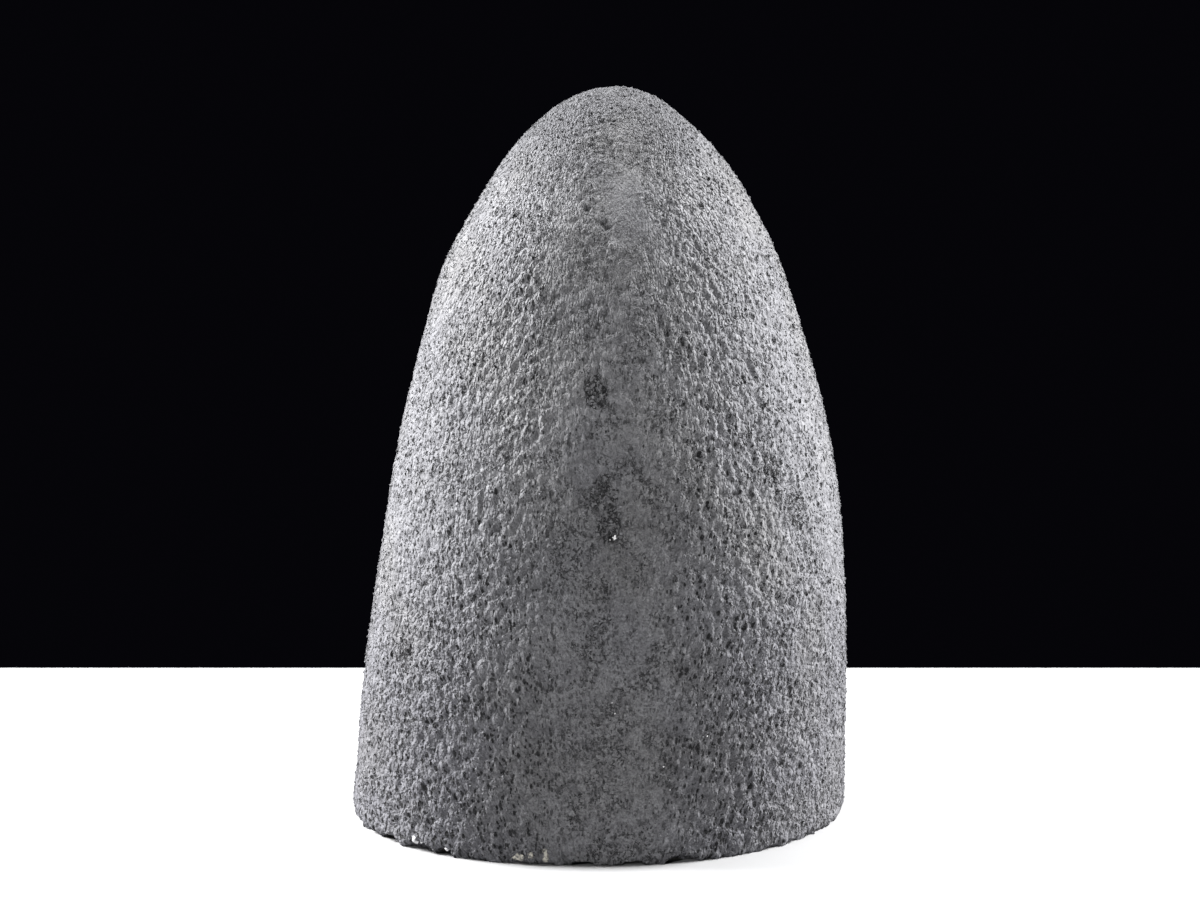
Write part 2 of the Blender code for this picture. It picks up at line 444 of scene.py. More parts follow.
def from_hollow(tree):
    """How many mm a point is outside the hollow's wall, and how far across and up in the hollow."""
    x, y, z = tree.parts(tree.place())
    across = x - HOLLOW_X
    back = y - (SAW_Y + SAW_SLOPE * z)
    rise = z - HOLLOW_WIDEST
    above = rise > 0
    power = FLOOR_POWER + (TOP_POWER - FLOOR_POWER) * above
    reach_down, reach_up = HOLLOW_WIDEST - HOLLOW_FLOOR, HOLLOW_TOP - HOLLOW_WIDEST
    reach = reach_down + (reach_up - reach_down) * above
    wide, deep = across / HOLLOW_HALF_WIDTH, back / HOLLOW_DEPTH
    level = maths("SQRT", wide * wide + deep * deep)
    high = maths("ABSOLUTE", rise) / reach
    share = (level**power + high**power) ** (1 / power)
    far = maths("SQRT", across * across + back * back + rise * rise) * 1000
    return far - far / share, across, rise


def sawn_face(tree):
    """Bands round the hollow on the polished face: violet and white quartz, agate, then rind."""
    face_power, rind_share, dome_mm = 2.3, 0.955, 82
    inner, across, rise = from_hollow(tree)
    x, y, z = tree.parts(tree.place())
    place_mm = tree.place_mm()
    side = maths("ABSOLUTE", (x - ON_ORIGIN[0]) / HALF_WIDTH) ** face_power
    depth = (abs(SAW_Y - ON_ORIGIN[1]) - SAW_SLOPE * z) / FRONT_DEPTH
    level = (side + maths("ABSOLUTE", depth) ** face_power) ** (2 / face_power)
    share = maths("SQRT", level + (z / HEIGHT) ** DOME_POWER)
    outer = maths("MAXIMUM", (rind_share - share) * dome_mm, 0)
    wobble = tree.noise(place_mm, 14, 3) - 0.5
    band = inner / (inner + outer) + 0.10 * wobble
    clouds = tree.noise(place_mm, 3.0, 4, 0.6)
    round_hollow = maths("ARCTAN2", rise, across)
    spoke = tree.node("ShaderNodeCombineXYZ", {}, {0: round_hollow * 16, 1: inner * 0.16})
    seam = tree.cell_edges(spoke, 1).between(0.07, 0.01)
    agate_lines = maths("SINE", band * 210 + 3 * wobble).between(-0.2, 0.9)
    flecks = tree.cells(place_mm, 1.6).between(0.35, 0.15)
    colour = tree.laid_over(
        tree.node("ShaderNodeValToRGB", {"stops": BANDS}, {0: band}),
        (
            (0.6 * band.between(0.50, 0.36) * tree.cell_chances(spoke, 1)[0], CUT_CRYSTAL),
            (0.2 * seam * band.between(0.62, 0.45), CRYSTAL_SEAM),
            (0.5 * agate_lines * band.between(0.60, 0.66) * band.between(0.86, 0.80), AGATE_LINE),
            (0.6 * flecks * band.between(0.84, 0.9), RIND_FLECK),
            (0.2 * clouds.between(0.35, 0.7), MILKY_CLOUD),
        ),
    )
    pits = tree.cells(place_mm, 2.6).between(0.12, 0.04)
    pits = pits * tree.noise(place_mm, 6, 1).between(0.5, 0.6)
    return {
        "Base Color": colour,
        "Roughness": 0.10 + 0.10 * clouds + 0.35 * band.between(0.84, 0.92) + 0.3 * pits,
        "IOR": QUARTZ_IOR,
        "Coat Weight": 0.3,
        "Coat Roughness": 0.05,
        "Normal": tree.bump(-0.25 * pits, 0.6),
    }


def hollow_wall(tree):
    """Sugary violet quartz, which shows between the crystals' roots."""
    place_mm = tree.place_mm()
    sugar = tree.cells(place_mm, 1.3)
    return {
        "Base Color": tree.mix(
            tree.noise(place_mm, 5, 3, 0.6).between(0.35, 0.65), WALL_DEEP, WALL_PALE
        ),
        "Roughness": 0.3 + 0.2 * sugar,
        "IOR": QUARTZ_IOR,
        "Normal": tree.bump(0.6 * sugar),
    }


def rind(tree):
    """The dark volcanic rock that the quartz grew in."""
    clouds = tree.noise(tree.place_mm(), 2.2, 5, 0.62)
    return {
        "Base Color": tree.mix(clouds.between(0.35, 0.65), RIND_DARK, RIND_PALE),
        "Roughness": 0.65 + 0.2 * clouds,
        "Normal": tree.bump(0.8 * clouds),
    }


def geometry_tree(name, numbers):
    """A geometry tree with a mesh socket and these named number sockets, and what they hold."""
    group = bpy.data.node_groups.new(name, "GeometryNodeTree")
    group.interface.new_socket("Mesh", in_out="INPUT", socket_type="NodeSocketGeometry")
    group.interface.new_socket("Mesh", in_out="OUTPUT", socket_type="NodeSocketGeometry")
    for number in numbers:
        kind = "NodeSocketInt" if number == "Seed" else "NodeSocketFloat"
        group.interface.new_socket(number, in_out="INPUT", socket_type=kind)
    inputs = group.nodes.new("NodeGroupInput")
    return Tree(group), {socket.name: Value(socket) for socket in inputs.outputs if socket.name}


def end_tree(tree, geometry, material):
    """Ends a geometry tree: what it repeats is made real, and all of it gets its material."""
    real = tree.node("GeometryNodeRealizeInstances", {}, {"Geometry": geometry})
    covered = tree.node("GeometryNodeSetMaterial", {}, {"Geometry": real, "Material": material})
    plug(tree.tree.nodes.new("NodeGroupOutput").inputs["Mesh"], covered)


def applied(made):
    """Swaps the object's modifiers for the mesh that they make."""
    graph = bpy.context.evaluated_depsgraph_get()
    mesh = bpy.data.meshes.new_from_object(made.evaluated_get(graph), depsgraph=graph)
    made.modifiers.clear()
    made.data = mesh


def shaped_by(made, tree, numbers):
    """Runs a geometry tree with these numbers over an object, and keeps the mesh that comes out."""
    modifier = made.modifiers.new(tree.tree.name, "NODES")
    modifier.node_group = tree.tree
    for item in tree.tree.interface.items_tree:
        if item.in_out == "INPUT" and item.name in numbers:
            modifier[item.identifier] = numbers[item.name]
    applied(made)


def block(tree, size, at, turn=(0, 0, 0)):
    """A block, for cutting off what it covers."""
    cube = tree.node("GeometryNodeMeshCube", {}, {"Size": size})
    sockets = {"Geometry": cube, "Translation": at, "Rotation": turn}
    return tree.node("GeometryNodeTransform", {}, sockets)


def saw_block(tree, proud):
    """A block whose face is the saw's plane, moved this far out."""
    wide, thick, tall = 0.4, 0.2, 0.6
    at = tree.vector("ADD", ON_SAW, tree.vector("SCALE", SAW_NORMAL, thick / 2 + proud))
    return block(tree, (wide, thick, tall), at, (-SAW_LEAN, 0, 0))


def booleans(tree, operation, first, *others):
    """Joins meshes, or cuts the others out of the first."""
    node = tree.tree.nodes.new("GeometryNodeMeshBoolean")
    node.operation = operation
    node.solver = "MANIFOLD"
    joined = [socket for socket in node.inputs if socket.is_multi_input][0]
    if operation == "DIFFERENCE":
        plug(node.inputs[0], first)
    else:
        others = (first, *others)
    for other in others:
        plug(joined, other)
    return Value(node.outputs[0])


def object_mesh(tree, made):
    """The mesh of a helper object."""
    return tree.node("GeometryNodeObjectInfo", {}, {"Object": made}, "Geometry")


def dropped(*helpers):
    """Removes helper objects."""
    for helper in helpers:
        bpy.data.objects.remove(helper)


def finished_in(made, *materials):
    """Gives a mesh these materials alone, in this order. A Boolean leaves an empty slot first."""
    made.data.materials.clear()
    for material in materials:
        made.data.materials.append(material)


def edited(made, change):
    """Changes an object's mesh in place."""
    bm = bmesh.new()
    bm.from_mesh(made.data)
    change(bm)
    bm.to_mesh(made.data)
    bm.free()


def told_apart(bm):
    """Tells the polished cut, the hollow's wall and the rind apart, with a crisp edge between."""
    bm.normal_update()
    for face in bm.faces:
        middle = face.calc_center_median()
        faces_in = Vector((HOLLOW_X - middle.x, SAW_Y - middle.y, 0)).dot(face.normal) > 0
        in_width = abs(middle.x - HOLLOW_X) < HOLLOW_HALF_WIDTH + WALL_SLACK
        in_height = HOLLOW_FLOOR - WALL_SLACK < middle.z < HOLLOW_TOP + WALL_SLACK
        if face.normal.dot(SAW_NORMAL) > 0.9999:
            face.material_index = 0
        else:
            face.material_index = 1 if faces_in and in_width and in_height else 2
        face.smooth = face.material_index > 0
    for edge in bm.edges:
        edge.smooth = len({face.material_index for face in edge.link_faces}) == 1


stone = mesh_object("geode_stone_visual", dome_mesh(MORTAR - BEDDED, STONE_ROWS, STONE_COLUMNS))
hollow = mesh_object("hollow", hollow_mesh(0))
polished_stone = material_of("polished_stone", sawn_face)
cut, given = geometry_tree("sawn_stone", ("Proud",))
under_foot = block(cut, (0.4, 0.4, 0.1), (0, 0, -0.05))
cut_away = (saw_block(cut, given["Proud"]), under_foot, object_mesh(cut, hollow))
sawn_stone = booleans(cut, "DIFFERENCE", given["Mesh"], *cut_away)
end_tree(cut, sawn_stone, polished_stone)
shaped_by(stone, cut, {"Proud": STONE_PROUD})
dropped(hollow)
violet_wall, dark_rind = material_of("violet_wall", hollow_wall), material_of("dark_rind", rind)
finished_in(stone, polished_stone, violet_wall, dark_rind)
edited(stone, told_apart)
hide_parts("geode")
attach(stone, "root")


# The amethyst lines the hollow: six-sided points of violet quartz, grown side by side from the wall
# and into one another, so that they are one clear solid. The saw that opened the geode cut those at
# its mouth flat.
CRYSTALS = {"Spacing": 0.0043, "Smallest": 0.0029, "Largest": 0.0058, "Proud": 0.00022, "Seed": 7}
CRYSTAL_SWAY = 0.3
WHOLE_TURN = 6.28
ROOT_OUTER = 0.0014
ROOT_INNER = 0.0004
SAW_SLACK = 0.00002
CRYSTAL_SHAPES = (  # name, height of the prism, height of the tip, how far the tip leans
    ("low_point", 0.10, 1.05, 0.12),
    ("tall_point", 0.55, 1.15, 0.22),
    ("blunt_point", 0.30, 0.90, 0.05),
    ("slim_point", 0.75, 1.20, 0.15),
)
ROOT_VIOLET, TIP_VIOLET = (0.34, 0.22, 0.54, 1), (0.30, 0.11, 0.62, 1)
VIOLET_DEPTHS = {"Color": (0.55, 0.24, 0.82, 1), "Density": 55.0}


def quartz_point(name, prism, tip, lean):
    """A six-sided point on a short prism, with its foot below zero and its tip off to one side."""
    foot_depth, shoulder = 0.5, 0.16
    bm = bmesh.new()
    foot, neck = [], []
    for angle in [math.pi * i / 3 for i in range(6)]:
        x, y = math.cos(angle), math.sin(angle)
        foot.append(bm.verts.new((x, y, -foot_depth)))
        neck.append(bm.verts.new((x, y, prism + shoulder * math.cos(angle + lean * 9))))
    point = bm.verts.new((lean, lean / 3, prism + tip))
    for i in range(6):
        j = (i + 1) % 6
        bm.faces.new((foot[i], foot[j], neck[j], neck[i]))
        bm.faces.new((neck[i], neck[j], point))
    bm.faces.new(foot[::-1])
    return mesh_object(name, bm)


def before_saw(tree):
    """How far a point stands out before the saw's plane. It is below 0 in the stone."""
    return tree.vector("DOT_PRODUCT", tree.vector("SUBTRACT", tree.place(), ON_SAW), SAW_NORMAL)


def spread_points(tree, given, crowding, share):
    """Points spread over the tree's mesh, Spacing or more apart, with normals and rotations."""
    points = tree.node(
        "GeometryNodeDistributePointsOnFaces",
        {"distribute_method": "POISSON"},
        {
            "Mesh": given["Mesh"],
            "Distance Min": given["Spacing"],
            "Density Max": crowding / (given["Spacing"] * given["Spacing"]),
            "Density Factor": share,
            "Seed": given["Seed"],
        },
    )
    outputs = points.socket.node.outputs
    return points, Value(outputs["Normal"]), Value(outputs["Rotation"])


def drawn(tree, low, high, seed=0):
    """A number or a vector drawn between these two, afresh for each point."""
    kind, low_in, out = ("FLOAT_VECTOR", 0, 0) if isinstance(low, tuple) else ("FLOAT", 2, 1)
    sockets = {low_in: low, low_in + 1: high, "Seed": seed}
    return tree.node("FunctionNodeRandomValue", {"data_type": kind}, sockets, out)


def copies_at(tree, points, pieces, pick, rotation, scale):
    """A copy of a piece on each point."""
    sockets = {"Points": points, "Instance": pieces, "Pick Instance": pick}
    sockets |= {"Rotation": rotation, "Scale": scale}
    return tree.node("GeometryNodeInstanceOnPoints", {}, sockets)


def turned_by(tree, rotation, turn):
    """A rotation turned again in its own frame."""
    settings = {"rotation_space": "LOCAL"}
    return tree.node("FunctionNodeRotateRotation", settings, {0: rotation, 1: turn})


def without_pockets(bm):
    """Deletes the small sealed bubbles between the grown crystals, and keeps their outer skin."""
    left = set(bm.faces)
    skins = []
    while left:
        skin = [left.pop()]
        for face in skin:
            near = {other for edge in face.edges for other in edge.link_faces} & left
            left -= near
            skin.extend(near)
        skins.append(skin)
    skins.sort(key=len)
    for pocket in skins[:-1]:
        bmesh.ops.delete(bm, geom=pocket, context="FACES")


def violet_quartz(tree):
    """Clear quartz, greyer at the roots and deeper violet towards the tips."""
    place_mm = tree.place_mm()
    from_wall = 1.5 * (tree.noise(place_mm, 6) - 0.5) - from_hollow(tree)[0]
    veil = tree.noise(place_mm, 2.4, 4, 0.6)
    return {
        "Base Color": tree.mix(from_wall.between(0.8, 5.0), ROOT_VIOLET, TIP_VIOLET),
        "Roughness": 0.03 + 0.12 * veil.between(0.55, 0.75),
        "IOR": QUARTZ_IOR,
        "Transmission Weight": 0.6,
        "Normal": tree.bump(veil, 0.25, 0.0003),
    }


crystal_points = [quartz_point(*shape) for shape in CRYSTAL_SHAPES]
crystals = mesh_object("amethyst_crystals", hollow_mesh(0))
root_outer = mesh_object("root_outer", hollow_mesh(ROOT_OUTER))
root_inner = mesh_object("root_inner", hollow_mesh(ROOT_INNER))
grow, given = geometry_tree("crystal_lining", CRYSTALS)
points, wall_normal, _ = spread_points(grow, given, 4, before_saw(grow) < 0.002)
chance = drawn(grow, 0.0, 1.0, 3)
size = given["Smallest"] + (given["Largest"] - given["Smallest"]) * chance * chance * chance
sway = drawn(grow, (-CRYSTAL_SWAY,) * 3, (CRYSTAL_SWAY,) * 3)
stand = grow.vector("ADD", grow.vector("SCALE", wall_normal, -1.0), sway)
upright = grow.node("FunctionNodeAlignRotationToVector", {"axis": "Z"}, {"Vector": stand})
spin = grow.node("ShaderNodeCombineXYZ", {}, {2: drawn(grow, 0.0, WHOLE_TURN, 5)})
shapes = grow.tree.nodes.new("GeometryNodeGeometryToInstance")
for point in crystal_points:
    plug(shapes.inputs[0], object_mesh(grow, point))
turned = turned_by(grow, upright, spin)
grown = copies_at(grow, points, Value(shapes.outputs[0]), True, turned, size)
root = booleans(grow, "DIFFERENCE", object_mesh(grow, root_outer), object_mesh(grow, root_inner))
lining = booleans(grow, "UNION", grown, root)
lining = booleans(grow, "DIFFERENCE", lining, saw_block(grow, given["Proud"]))
amethyst = material_of("amethyst", violet_quartz, VIOLET_DEPTHS)
end_tree(grow, lining, amethyst)
shaped_by(crystals, grow, CRYSTALS)
dropped(root_outer, root_inner, *crystal_points)
edited(crystals, without_pockets)
finished_in(crystals, amethyst, polished_stone)
for face in crystals.data.polygons:
    sawn_through = (face.center - ON_SAW).dot(SAW_NORMAL) > CRYSTALS["Proud"] - SAW_SLACK
    face.material_index = 1 if sawn_through and face.normal.dot(SAW_NORMAL) > 0.999 else 0
crystals.data.shade_flat()
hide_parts("geode")
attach(crystals, "root")


# The mortar coat is a skin of sanded mortar, about 4 mm thick, trowelled over the stone's back and
# flanks and left rough. It bonds to the stone and ends flush with the sawn face and the foot.
MORTAR_VOXEL = 0.00099
SKIN_ROWS, SKIN_COLUMNS = 110, 180
INNER_ROWS, INNER_COLUMNS = 24, 56
ROUGHCAST = {  # heights, lengths and depths in mm
    "Lump height": 0.22,
    "Lump length": 16,
    "Stroke height": 0.20,
    "Grain height": 0.42,
    "Grain length": 2.3,
    "Crumb height": 0.48,
    "Crumb length": 1.5,
    "Pit depth": 1.1,
    "Pit spacing": 3.1,
    "Edge wear": 0.7,
    "Chip depth": 3.0,
}
# Chips along the coat's foot edge: middle, and how far each reaches across, out and up. The second
# and third lay bare the white quartz below.
FOOT_CHIPS = (
    (Vector((-0.0275, 0.0525, 0)), Vector((0.0058, 0.0060, 0.0028))),
    (Vector((0.0610, 0.0400, 0)), Vector((0.0075, 0.0050, 0.0030))),
    (Vector((0.0525, 0.0465, 0)), Vector((0.0040, 0.0050, 0.0028))),
    (Vector((0.0710, 0.0290, 0)), Vector((0.0050, 0.0060, 0.0022))),
    (Vector((-0.0112, 0.0550, 0)), Vector((0.0034, 0.0040, 0.0014))),
    (Vector((0.0055, 0.0555, 0)), Vector((0.0034, 0.0040, 0.0012))),
)
# Larger holes, then places where small pits crowd together, a raised nodule and a patch smoothed by
# a thumb: middles and reaches in mm.
HOLES = (
    ((-1.6, 22.0, 208.0), (1.0, 1.2, 0.8)), ((-2.9, 22.6, 206.5), (1.0, 1.2, 0.9)),
    ((4.0, 19.3, 212.2), (1.0, 1.2, 0.9)), ((1.3, 39.3, 155.6), (1.2, 1.4, 1.0)),
    ((2.9, 39.3, 153.6), (0.9, 1.2, 0.9)), ((63.3, 29.7, 64.7), (1.1, 1.1, 1.3)),
    ((65.3, 27.5, 64.2), (0.9, 1.0, 1.1)), ((76.0, 15.0, 66.0), (1.0, 1.0, 1.4)),
    ((-3.4, 47.6, 108.6), (1.3, 1.4, 1.0)),
)
PITTED = (
    ((1.0, 39.3, 155.0), 4.0), ((-1.9, 45.9, 122.0), 5.0), ((-3.0, 47.0, 112.0), 4.5),
    ((-56.3, 29.0, 127.2), 4.0), ((-65.0, 24.5, 113.5), 5.0), ((64.5, 29.0, 64.7), 4.0),
)
NODULE = ((-4.2, 25.3, 200.4), (2.4, 2.4, 2.8))
THUMBED = ((-8.5, 18, 213), (10, 18, 25))
COOL_CEMENT, WARM_CEMENT = (0.125, 0.125, 0.134, 1), (0.128, 0.127, 0.130, 1)
DARK_SAND, PALE_SAND = (0.054, 0.054, 0.060, 1), (0.205, 0.206, 0.214, 1)
DARK_MOTTLE, PALE_MOTTLE = (0.075, 0.074, 0.080, 1), (0.185, 0.185, 0.193, 1)
# Painted light: a lighter grey laid in bands up the middle of the mortar's back.
PAINTED_MIDDLE_LIGHT, TOP_DARKENING = (0.26, 0.26, 0.27, 1), (0.05, 0.05, 0.055, 1)
# Painted shade: the mortar is made darker low down, most on its flanks.
PAINTED_LOW_SHADE = (0.045, 0.043, 0.058, 1)
# Painted shade: the mortar and its sand are darker towards the sawn face.
PAINTED_FRONT_SHADE = (0.034, 0.034, 0.037, 1)
# Dirt and painted shade: the near-black laid into the mortar's holes and crevices.
HOLE_DIRT_AND_SHADE = (0.008, 0.008, 0.009, 1)


def within(tree, place, middle, reach):
    """How far out a place is in the ball or egg with this middle and reach, where 1 is its skin."""
    off = tree.vector("SUBTRACT", place, middle)
    return tree.vector("LENGTH", tree.vector("MULTIPLY", off, tuple(1 / side for side in reach)))


def combed(tree, place_mm, stretch):
    """The place with the dome made a cylinder, so that a pattern runs up it, longer by stretch."""
    cylinder_radius, least_radius = 62, 30
    x, y, z = tree.parts(place_mm)
    radius = maths("SQRT", x * x + y * y)
    spread = cylinder_radius / maths("MAXIMUM", radius, least_radius)
    sockets = {0: x * spread, 1: y * spread, 2: (z - radius) / stretch}
    return tree.node("ShaderNodeCombineXYZ", {}, sockets)


def sawn(bm):
    """Cuts the mesh off at the saw's plane and at the foot, and leaves both cuts open."""
    for at, away in ((ON_SAW, SAW_NORMAL), (Vector(), Vector((0, 0, -1)))):
        geom = bm.verts[:] + bm.edges[:] + bm.faces[:]
        bmesh.ops.bisect_plane(
            bm, geom=geom, dist=1e-7, plane_co=at, plane_no=away, clear_outer=True
        )


def rim(bm):
    """The open edge's vertices in order from the +X corner, and their bearings."""

    def bearing(vertex):
        """From 0 to 1 over the arch, and on to 2 round the foot."""
        x, y, z = vertex.co
        if z > 1e-5:
            return math.atan2(z, x) / math.pi
        return 2 - math.atan2(max(y - SAW_Y, 0), x) / math.pi

    walked = [min((vertex for vertex in bm.verts if vertex.is_boundary), key=bearing)]
    seen = set(walked)
    while True:
        near = [edge.other_vert(walked[-1]) for edge in walked[-1].link_edges if edge.is_boundary]
        near = [vertex for vertex in near if vertex not in seen]
        if not near:
            break
        walked.append(min(near, key=bearing))
        seen.add(walked[-1])
    return walked, list(np.maximum.accumulate([bearing(vertex) for vertex in walked]))


def zip_rims(bm, outer, outer_at, inner, inner_at):
    """Closes the gap between two rims with triangles, each on an edge of the rim that is behind."""
    outer, inner = [*outer, outer[0]], [*inner, inner[0]]
    outer_at, inner_at = [*outer_at, 2], [*inner_at, 2]
    i = j = 0
    while i < len(outer) - 1 or j < len(inner) - 1:
        if j == len(inner) - 1 or (i < len(outer) - 1 and outer_at[i + 1] <= inner_at[j + 1]):
            bm.faces.new((outer[i], inner[j], outer[i + 1]))
            i += 1
        else:
            bm.faces.new((outer[i], inner[j], inner[j + 1]))
            j += 1


def closed_behind(bm):
    """Sets the rough skin flush again with both cuts, and closes it with a smooth inner face."""
    for vertex in bm.verts:
        if vertex.is_boundary:
            if vertex.co.z < MORTAR_VOXEL / 2:
                vertex.co.z = 0
            else:
                vertex.co -= SAW_NORMAL * (vertex.co - ON_SAW).dot(SAW_NORMAL)
    inner = dome_mesh(MORTAR, INNER_ROWS, INNER_COLUMNS)
    sawn(inner)
    outer_rim, outer_at = rim(bm)
    inner_rim, inner_at = rim(inner)
    twin = {vertex: bm.verts.new(vertex.co) for vertex in inner.verts}
    for face in inner.faces:
        bm.faces.new([twin[vertex] for vertex in reversed(face.verts)])
    zip_rims(bm, outer_rim, outer_at, [twin[vertex] for vertex in inner_rim], inner_at)
    inner.free()
    bmesh.ops.recalc_face_normals(bm, faces=bm.faces)


def stored(tree, name):
    """A number that the mortar's mesh carries at each point."""
    if tree.tree.type == "GEOMETRY":
        settings = {"data_type": "FLOAT"}
        return tree.node("GeometryNodeInputNamedAttribute", settings, {"Name": name})
    return tree.node("ShaderNodeAttribute", {"attribute_name": name}, {}, "Fac")


def store(tree, geometry, name, value):
    """Makes the geometry carry this number at each point."""
    settings = {"data_type": "FLOAT", "domain": "POINT"}
    sockets = {"Geometry": geometry, "Name": name, "Value": value}
    return tree.node("GeometryNodeStoreNamedAttribute", settings, sockets)


def ragged(tree, place_mm, length, reach):
    """A random push for a place, so that what is drawn there loses its clean outline."""
    sockets = {"Vector": place_mm, "Scale": 1 / length, "Detail": 1.0}
    return tree.vector("SCALE", tree.node("ShaderNodeTexNoise", {}, sockets, "Color"), reach)


def pinholes_in(tree, place_mm):
    """Oval holes of two sizes, taller than wide, that run through the skin and its sand alike."""
    place = tree.vector("ADD", combed(tree, place_mm, 1.9), ragged(tree, place_mm, 0.8, 0.5))
    low = tree.parts(place_mm)[2].between(115, 50)
    crowd = 0.25 + 1.3 * tree.noise(place_mm, 9).between(0.36, 0.66)
    crowd = crowd + 0.8 * stored(tree, "pitted") + 0.55 * low
    holes = 0
    for apart, kept, reach in ((1.2, 0.55, 0.40), (2.1, 0.5, 0.31)):
        chance, width, _ = tree.cell_chances(place, apart)
        far = tree.cells(place, apart) / (reach * (0.6 + 0.6 * width))
        holes = far.between(1.0, 0.6) * (chance < kept * crowd) + holes
    return maths("MINIMUM", holes, 1)


def sanded_mortar(tree):
    """Grey cement full of sand: pebbly where rough, crazed where smoothed, with dirt and painted
    shade in its holes.
    """
    place_mm = tree.place_mm()
    x, y, z = tree.parts(place_mm)
    side = maths("ABSOLUTE", x)
    middle = side.between(48, 14)
    patch, pit, pitted = (stored(tree, name) for name in ("patch", "pit", "pitted"))
    smoothed = patch.between(0, 1)
    roughness = 1.35 - 0.36 * smoothed - 0.45 * patch.between(1, 1.25)
    roughness = roughness * (1 - 0.35 * side.between(25, 60))
    roughness = roughness * (1 + 0.7 * z.between(115, 50) * (1 - 0.7 * smoothed))
    pebble = tree.cells(combed(tree, place_mm, 1.6), 1.5)
    fine = tree.cells(combed(tree, place_mm, 1.6), 0.75)
    dust = tree.noise(combed(tree, place_mm, 1.3), 0.8, 1) - 0.5

    crowd = tree.noise(place_mm, 9).between(0.44, 0.58)
    crazed = tree.vector("ADD", place_mm, ragged(tree, place_mm, 1.1, 2.2))
    crevices = tree.cell_edges(crazed, 2.4).between(0.11, 0.03) * (0.2 + 0.8 * patch)
    crevices = crevices * tree.noise(place_mm, 3.5).between(0.40, 0.50) * (0.2 + 0.6 * crowd)
    crevices = crevices * tree.noise(place_mm, 1.4, 1).between(0.44, 0.54)
    flecks = tree.noise(combed(tree, place_mm, 1.2), 0.95, 1).between(0.37, 0.31)
    flecks = flecks * (0.15 + 0.85 * crowd) * (0.3 + 0.7 * patch)
    crevices = maths("MAXIMUM", crevices, flecks) * patch.between(1.3, 1.02)
    broken = tree.cell_edges(crazed, 1.7).between(0.17, 0.09) * pitted.between(0.1, 0.5)
    broken = broken * tree.noise(place_mm, 1.6, 2, 0.6).between(0.44, 0.52)
    crevices = maths("MAXIMUM", crevices, broken)
    pinholes = pinholes_in(tree, place_mm) * (1 - 0.55 * patch)
    grit = roughness * (0.4 * dust - 0.85 * pebble * pebble - 0.3 * fine * fine)

    speckle = tree.noise(place_mm, 0.75, 3, 0.65)
    mottle = tree.noise(place_mm, 5.5, 2, 0.55)
    # Painted light: bands up the middle of the back are made lighter, as if more brightly lit.
    painted_light_bands = (
        0.33 * z.between(105, 150) * z.between(234, 212)
        + 0.15 * z.between(36, 56) * z.between(98, 78)
        + 0.09 * z.between(40, 12)
    )
    # Dirt and painted shade: pinholes and pits are darkened as if shaded inside, and the crevices
    # below too.
    dirt_and_shade = maths("MAXIMUM", pinholes, pit.between(0.35, 0.8))
    colour = tree.laid_over(
        tree.mix(tree.noise(place_mm, 34).between(0.4, 0.65), COOL_CEMENT, WARM_CEMENT),
        (
            (speckle.between(0.52, 0.34) * (0.4 + 0.25 * patch), DARK_SAND),
            (speckle.between(0.52, 0.68) * (0.3 + 0.3 * patch), PALE_SAND),
            (middle * painted_light_bands * (1 - patch.between(0.95, 1.2)), PAINTED_MIDDLE_LIGHT),
            # Darker over the very top of the dome.
            (0.2 * z.between(224, 244), TOP_DARKENING),
            # Painted shade: darker towards the sawn face.
            (0.5 * y.between(8, -22), PAINTED_FRONT_SHADE),
            # Painted shade: darker low down, less so up the middle.
            ((0.32 - 0.28 * middle) * z.between(122, 35), PAINTED_LOW_SHADE),
            (0.35 * mottle.between(0.50, 0.36), DARK_MOTTLE),
            (0.25 * mottle.between(0.52, 0.68), PALE_MOTTLE),
            # Dirt and painted shade in the holes and crevices.
            (maths("MAXIMUM", 0.96 * dirt_and_shade, 0.94 * crevices), HOLE_DIRT_AND_SHADE),
        ),
    )
    return {
        "Base Color": colour,
        "Roughness": 0.88 - 0.1 * patch,
        "Specular IOR Level": 0.3,
        "Normal": tree.bump(grit - 1.4 * pinholes - 1.1 * crevices),
    }


rough, given = geometry_tree("roughcast", ROUGHCAST)
place, place_mm = rough.place(), rough.place_mm()
across, back, height = rough.parts(place_mm)
wander = 26 * (rough.noise(place_mm, 24) - 0.5)

# The coat is smoother where it was floated, up the middle of its back and under a thumb's stroke.
floated = rough.noise(place_mm, 21, 1.5).between(0.56, 0.66) * 0.35
off_middle = maths("ABSOLUTE", across + 3 + wander)
trowelled = off_middle.between(30, 12) * back.between(0, 20)
trowelled = trowelled * (0.68 + 0.3 * height.between(165, 120))
thumbed = within(rough, place_mm, *THUMBED) + 1.1 * (rough.noise(place_mm, 7, 2, 0.6) - 0.5)
patch = maths("MAXIMUM", floated, trowelled)
patch = maths("MAXIMUM", patch, 1.25 * thumbed.between(1.5, 0.5))
coarse = 1 - 0.62 * patch

# Its relief is low lumps, the trowel's upward strokes, grains, crumbs and pits.
lump_place = rough.vector("SCALE", place_mm, given["Lump length"] ** -1)
crumb_place = rough.vector("SCALE", place_mm, given["Crumb length"] ** -1)
grain_place = rough.vector("SCALE", combed(rough, place_mm, 1.5), given["Grain length"] ** -1)
pit_place = rough.vector("SCALE", combed(rough, place_mm, 1.6), given["Pit spacing"] ** -1)
lumps = rough.noise(lump_place, 1) - 0.5
strokes = rough.noise(combed(rough, place_mm, 3.5), 2.4, 2, 0.5, 0.3) - 0.5
strokes = strokes + 1.1 * (rough.noise(combed(rough, place_mm, 3.0), 5.0, 2, 0.5, 0.3) - 0.5)
grain_far = rough.cells(grain_place, 1)
grains = 0.35 - grain_far * grain_far * 1.6
crumbs = rough.noise(crumb_place, 1, 2, 0.6) - 0.5
pit_chance, pit_width, _ = rough.cell_chances(pit_place, 1)
